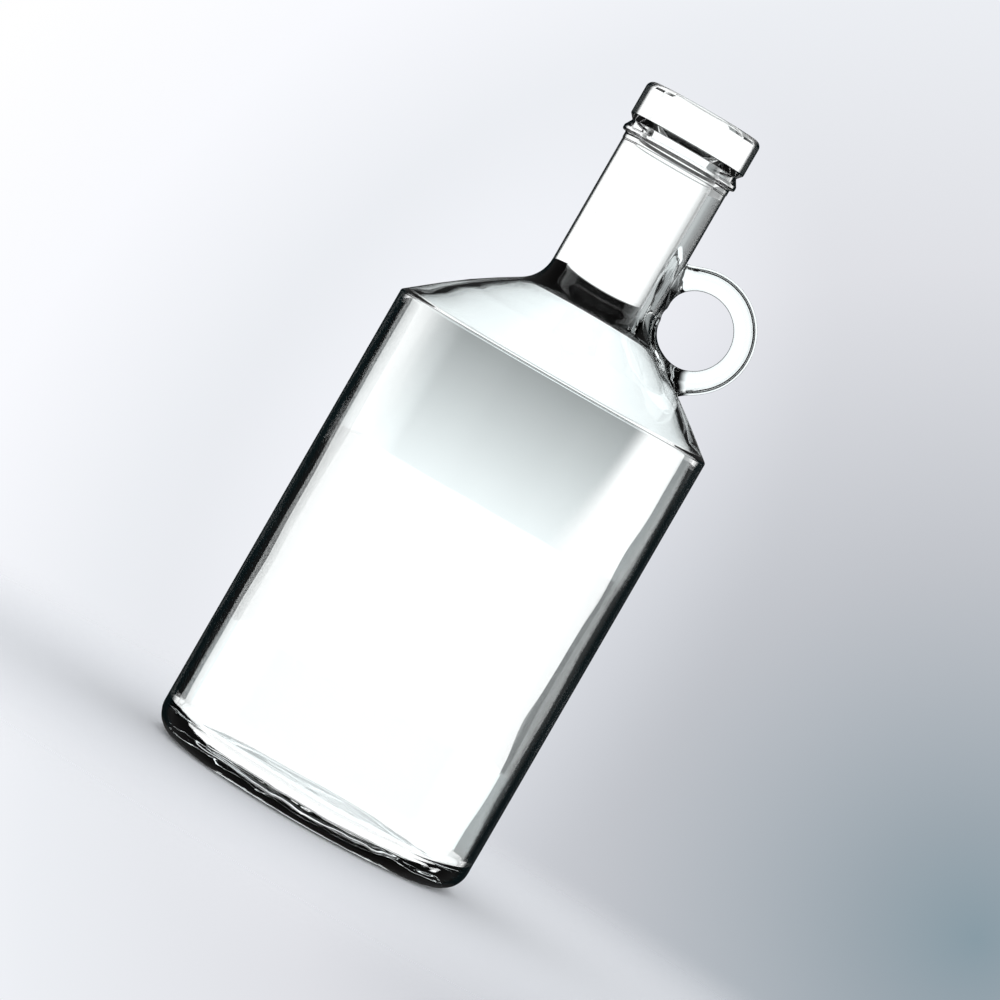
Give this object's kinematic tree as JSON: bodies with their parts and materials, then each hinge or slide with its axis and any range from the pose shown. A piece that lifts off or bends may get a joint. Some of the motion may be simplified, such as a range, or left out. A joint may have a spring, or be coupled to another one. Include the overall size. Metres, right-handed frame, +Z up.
{
  "type": "glass jug bottle",
  "caption": "Clear glass jug bottle: straight cylindrical body, conical shoulder, slim neck with collared mouth, and a finger ring on the neck.",
  "frame": {"origin": "on the body's axis, in the plane that the bottle stands on", "axes": "+Z up the bottle's axis towards the mouth, +X from the axis towards the finger ring"},
  "size_m": [0.0914, 0.0914, 0.21],
  "materials": {
    "clear_glass": "polished"
  },
  "bodies": {
    "root": {"base": "clear_glass", "body_wall": "clear_glass", "shoulder": "clear_glass", "neck": "clear_glass", "neck_bead": "clear_glass", "collar": "clear_glass", "finger_ring": "clear_glass"}
  },
  "joints": []
}
